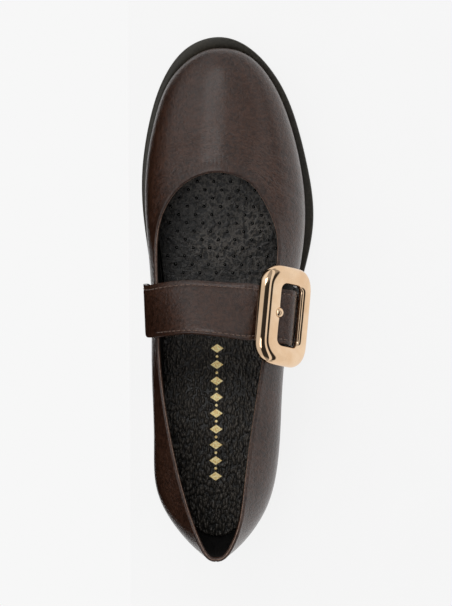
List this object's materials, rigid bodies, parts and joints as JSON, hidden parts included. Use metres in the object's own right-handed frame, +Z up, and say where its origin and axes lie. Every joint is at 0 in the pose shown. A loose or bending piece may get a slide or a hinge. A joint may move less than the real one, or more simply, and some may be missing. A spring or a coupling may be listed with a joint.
{
  "type": "mary jane shoe",
  "caption": "Low-heeled leather shoe for the right foot with a round toe, an open instep, a wide strap and a large domed metal buckle.",
  "frame": {"origin": "middle of the heel's flat rest face, on the floor", "axes": "+Y along the shoe towards the toe, +X towards the outer (lateral) side of the foot, +Z up"},
  "size_m": [0.0892, 0.2625, 0.0881],
  "materials": {
    "upper_leather": "smooth dark brown leather with a soft shine",
    "lining": "black leather lining, dotted under the ball and grained behind",
    "sole_rubber": "dark olive-black rubber, satin edge",
    "buckle_metal": "polished pale gold plating"
  },
  "bodies": {
    "root": {"outsole": "sole_rubber", "heel": "sole_rubber", "welt": "sole_rubber", "insole": "lining", "upper": "upper_leather", "topline_binding": "upper_leather", "strap": "upper_leather", "buckle_frame": "buckle_metal", "buckle_bar": "buckle_metal", "buckle_prong": "buckle_metal"}
  },
  "joints": []
}
